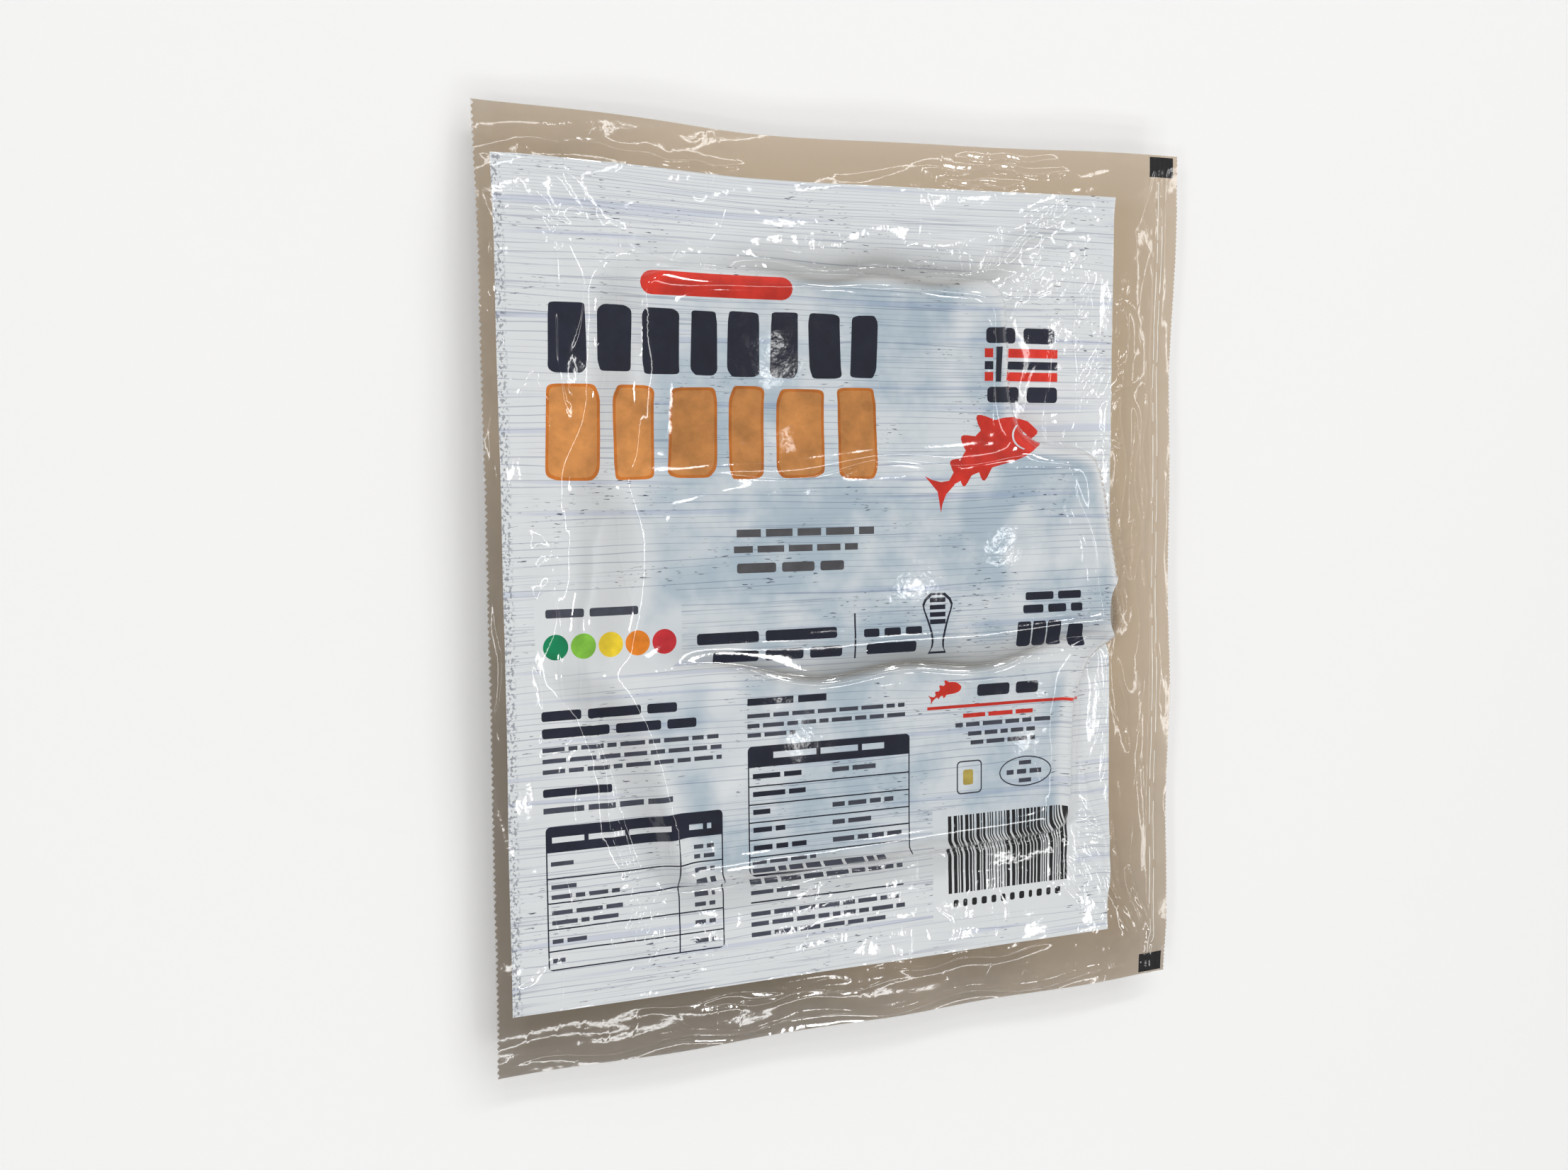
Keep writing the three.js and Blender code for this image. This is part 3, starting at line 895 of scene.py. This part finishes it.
def white_ink(name, grained):
    """White ink, bluish where cold fish touches it and darker over gaps, partly by painted shade; grained, it
    shows pale boards.
    """
    material, shader, add, plug = node_material(name)
    place = add("ShaderNodeTexCoord").outputs["Object"]
    flat = add("ShaderNodeUVMap", uv_map="print").outputs["UV"]
    touch = add("ShaderNodeAttribute", attribute_name="touch").outputs["Fac"]

    def noise(across, along, detail=2.0, distortion=0.0):
        laid = add("ShaderNodeMapping", {"Vector": flat, "Scale": (across, along, 1)})
        inputs = {"Vector": laid.outputs["Vector"], "Scale": 1, "Detail": detail, "Distortion": distortion}
        return add("ShaderNodeTexNoise", inputs).outputs["Fac"]

    def calculate(operation, *values):
        return add("ShaderNodeMath", dict(enumerate(values)), operation=operation).outputs[0]

    def ramp(value, low, high, first=0.0, last=1.0):
        inputs = {"Value": value, "From Min": low, "From Max": high, "To Min": first, "To Max": last}
        return add("ShaderNodeMapRange", inputs, interpolation_type="SMOOTHSTEP").outputs["Result"]

    def mixed(share, first, second, blend="MIX"):
        inputs = {"Factor": share, "A": first, "B": second}
        return add("ShaderNodeMix", inputs, data_type="RGBA", blend_type=blend).outputs["Result"]

    def stripes(value):
        return ramp(calculate("PINGPONG", value, 0.5), 0.01, 0.09, 1.0, 0.0)

    split = add("ShaderNodeSeparateXYZ", {"Vector": flat})
    across, along = split.outputs["X"], split.outputs["Y"]
    bend = calculate("MULTIPLY", noise(5, 50, 2.0, 0.2), 5.0)
    rings = stripes(calculate("MULTIPLY_ADD", along, 430.0, bend))
    boards = ramp(noise(14, 230, 1.0), 0.36, 0.6, 0.1, 1.0)
    fibres = calculate("MULTIPLY", ramp(noise(20, 1500), 0.56, 0.68), ramp(noise(3, 40, 1.0), 0.42, 0.56))
    dashes = calculate("MULTIPLY", ramp(noise(260, 1700), 0.63, 0.69), ramp(noise(30, 55), 0.5, 0.6))
    fine = stripes(calculate("MULTIPLY_ADD", along, 950.0, noise(12, 60)))
    fine = calculate("MULTIPLY", fine, ramp(along, 0.113, 0.12))
    fine = calculate("MULTIPLY", fine, ramp(across, -0.02, 0.09, 0.9, 0.25))
    dots = ramp(noise(1100, 800, 1.0), 0.53, 0.58)
    dots = calculate("MULTIPLY", dots, ramp(across, -0.1179, -0.1163, 0.6, 0.0))
    lines = calculate("MAXIMUM", calculate("MULTIPLY", rings, boards), calculate("MULTIPLY", fibres, 0.8))
    lines = calculate("MAXIMUM", lines, fine)
    streaks = ramp(noise(7, 260, 1.5), 0.6, 0.68, 0.0, 0.5)
    colour = mixed(calculate("MULTIPLY", streaks, grained), WHITE_INK, GRAIN_STREAK)
    colour = mixed(calculate("MULTIPLY", lines, 0.7 * grained), colour, GRAIN_LINE)
    dark = calculate("MULTIPLY", calculate("MAXIMUM", dashes, dots), grained)
    colour = mixed(dark, colour, GRAIN_DASH)
    clouds = add("ShaderNodeTexNoise", {"Vector": place, "Scale": 30, "Detail": 4, "Roughness": 0.6})
    pressed = calculate("MULTIPLY", touch, ramp(clouds.outputs["Fac"], 0.38, 0.64, 1.0, 0.3))
    colour = mixed(pressed, colour, COLD_TINT, "MULTIPLY")
    # the print darkens over gaps, partly by painted shade
    painted_shade = add("ShaderNodeAttribute", attribute_name="painted_shade").outputs["Fac"]
    plug(mixed(painted_shade, colour, PAINTED_GAP_SHADE), "Base Color")
    gloss(shader, plug, film_normal(add, place))
    return material


def clear_margin(name):
    """Bare film over film, warmly tinted by what shows through and darker towards the left and bottom by
    painted shade; where it climbs a loin, the fish shows.
    """
    material, shader, add, plug = node_material(name)
    place = add("ShaderNodeTexCoord").outputs["Object"]
    haze = add("ShaderNodeTexNoise", {"Vector": place, "Scale": 26, "Detail": 4, "Roughness": 0.6})
    split = add("ShaderNodeSeparateXYZ", {"Vector": place})
    # painted shade: the tint darkens towards the left and bottom, with a random haze besides
    lighter = 0.28
    for value, share in ((split.outputs["X"], 3.8), (split.outputs["Y"], 3.6), (haze.outputs["Fac"], 0.7)):
        terms = {0: value, 1: share, 2: lighter}
        lighter = add("ShaderNodeMath", terms, operation="MULTIPLY_ADD").outputs[0]
    tint = add(
        "ShaderNodeMix",
        {"Factor": lighter, "A": MARGIN_SHADED, "B": MARGIN_PALE},
        data_type="RGBA",
    )
    plug(tint.outputs["Result"], "Base Color")
    climb = add("ShaderNodeAttribute", attribute_name="climb").outputs["Fac"]
    clearing = {"Value": climb, "From Min": 0.1, "From Max": 0.5, "To Min": 0.78, "To Max": 0.2}
    plug(add("ShaderNodeMapRange", clearing).outputs["Result"], "Alpha")
    gloss(shader, plug, film_normal(add, place))
    return material


def film_piece(name, flat, triangles, inks, places, looks):
    """One area of the front film as a piece, with its own vertices."""
    used, corners = np.unique(triangles, return_inverse=True)
    mesh = bpy.data.meshes.new(name)
    mesh.from_pydata(places[used] * MM, [], corners.reshape(-1, 3))
    for ink in np.unique(inks):
        mesh.materials.append(film_materials[ink_order[ink]])
    mesh.polygons.foreach_set("material_index", np.unique(inks, return_inverse=True)[1])
    uv = mesh.uv_layers.new(name="print")
    uv.data.foreach_set("uv", (flat[triangles.ravel()] * MM).ravel())
    mesh.shade_smooth()
    piece = bpy.data.objects.new(name, mesh)
    bpy.context.scene.collection.objects.link(piece)
    for look, values in looks.items():
        add_attribute(piece, look, values[used])
    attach(piece, "root")
    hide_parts("sealed_pack")


film_materials = {name: ink_material(name, colour) for name, colour in INKS.items() if colour}
film_materials["white_print"] = white_ink("white_print", grained=1.0)
film_materials["plain_white"] = white_ink("plain_white", grained=0.0)
film_materials["clear_margin"] = clear_margin("clear_margin")
flat, triangles, inks, printed = flat_front()
x, y, z, looks = drape(flat[:, 0], flat[:, 1])
places = np.stack([x, y, z], 1)
film_piece("printed_film", flat, triangles[printed], inks[printed], places, looks)
film_piece("clear_film", flat, triangles[~printed], inks[~printed], places, looks)


# ---------------------------------------------------------------- floor, light and camera
# A plain pale table top, many small lamps that the film's folds catch, and a dim sky that lights the rest.
def floor():
    bm = bmesh.new()
    bmesh.ops.create_grid(bm, x_segments=1, y_segments=1, size=4)
    bmesh.ops.translate(bm, verts=bm.verts, vec=(0, 0, -0.0002))
    mesh = bpy.data.meshes.new("floor")
    bm.to_mesh(mesh)
    bm.free()
    material, shader, _, _ = node_material("floor")
    shader.inputs["Base Color"].default_value = (0.93, 0.93, 0.93, 1)
    shader.inputs["Roughness"].default_value = 0.8
    mesh.materials.append(material)
    piece = bpy.data.objects.new("floor", mesh)
    bpy.context.scene.collection.objects.link(piece)


def lamp(name, place, target, size, watts):
    data = bpy.data.lights.new(name, "AREA")
    data.shape = "RECTANGLE"
    data.size, data.size_y = size
    data.energy = watts
    piece = bpy.data.objects.new(name, data)
    piece.location = place
    piece.rotation_euler = (Vector(target) - Vector(place)).to_track_quat("-Z", "Y").to_euler()
    bpy.context.scene.collection.objects.link(piece)


floor()
PACK_MIDDLE = (0, 0, 0.02)
EYE = Vector((SIGHT_FOOT[0] * MM, SIGHT_FOOT[1] * MM, (SIGHT_HEIGHT + EDGE_HEIGHT) * MM))
CEILING, FILM_LEVEL = 1.2, 0.025
GLINTS = [  # places on the film, in millimetres, that mirror a lamp of this size to the eye
    (-100, 120, 0.05), (-62, 130, 0.04), (-20, 122, 0.05), (20, 118, 0.05), (55, 140, 0.05),
    (68, 98, 0.03), (90, 68, 0.025), (101, 50, 0.03), (113, 22, 0.05), (0, 0, 0.02), (-25, -46, 0.015),
    (-40, -123, 0.05), (18, -138, 0.05), (92, -143, 0.05), (-110, -118, 0.04), (-118, 55, 0.04),
    (34, 12, 0.016), (-42, 74, 0.014), (62, -58, 0.014),
]
GLARE = 20  # radiance of those lamps
SIDE_SIZE, TUBE_LENGTH = 0.12, 1.3
SKY_LEAN, SKY_LEVEL = (0, 0.15, 0), 0.33  # the sky is brighter beyond the top edge
SIDE_SPOTS = [  # ceiling place and watts
    (-0.5, 1.2, 1.8), (-0.1, 1.35, 1.8), (0.3, 1.4, 1.8), (0.7, 1.4, 1.8), (1.1, 1.2, 1.8),
    (-0.3, -1.3, 2.2), (0.5, -1.35, 2.2), (-1.2, 0.2, 2.2), (-1.1, -0.5, 2.2),
]
TUBES = {  # ceiling place, point below that it faces, width and watts; they light the folds' flanks
    "right_tube": ((1.25, -0.1), (0, -0.1), 0.04, 1.5),
    "left_tube": ((-0.35, -0.1), (0, -0.1), 0.02, 1.5),
    "top_tube": ((0.5, 0.8), (0.5, 0), 0.03, 1.5),
    "bottom_tube": ((0.5, -1.0), (0.5, 0), 0.04, 2.4),
}


def mirrored(x, y):
    """Where a lamp hangs that a level place on the film mirrors to the eye."""
    reach = (CEILING - FILM_LEVEL) / (EYE.z - FILM_LEVEL)
    return x * MM + (x * MM - EYE.x) * reach, y * MM + (y * MM - EYE.y) * reach


for number, (x, y, size) in enumerate(GLINTS):
    watts = GLARE * math.pi * size**2
    lamp(f"glint_{number:02d}", (*mirrored(x, y), CEILING), PACK_MIDDLE, (size, size), watts)
for number, (x, y, watts) in enumerate(SIDE_SPOTS):
    lamp(f"side_{number:02d}", (x, y, CEILING), PACK_MIDDLE, (SIDE_SIZE, SIDE_SIZE), watts)
for name, (place, below, width, watts) in TUBES.items():
    lamp(name, (*place, CEILING), (*below, FILM_LEVEL), (TUBE_LENGTH, width), watts)

world = bpy.data.worlds.new("studio")
world.use_nodes = True
sky = world.node_tree.nodes["Background"]
sky.inputs["Color"].default_value = (1, 0.985, 0.96, 1)
way = world.node_tree.nodes.new("ShaderNodeTexCoord")
lean = world.node_tree.nodes.new("ShaderNodeVectorMath")
lean.operation = "DOT_PRODUCT"
lean.inputs[1].default_value = SKY_LEAN
level = world.node_tree.nodes.new("ShaderNodeMath")
level.inputs[1].default_value = SKY_LEVEL
world.node_tree.links.new(way.outputs["Generated"], lean.inputs[0])
world.node_tree.links.new(lean.outputs["Value"], level.inputs[0])
world.node_tree.links.new(level.outputs[0], sky.inputs["Strength"])
bpy.context.scene.world = world
bpy.context.scene.view_settings.view_transform = "Standard"

camera_data = bpy.data.cameras.new("camera")
camera_data.sensor_width = 36
camera_data.lens = 32.0
camera_data.clip_start = 0.01
camera = bpy.data.objects.new("camera", camera_data)
right, up, sight = (0.93063, -0.00865, 0.36587), (0.03784, 0.99664, -0.07270), (0.36400, -0.08150, -0.92782)
turned = Matrix((right, up, [-s for s in sight])).transposed()
camera.matrix_world = Matrix.Translation(EYE) @ turned.to_4x4()
bpy.context.scene.collection.objects.link(camera)
bpy.context.scene.camera = camera
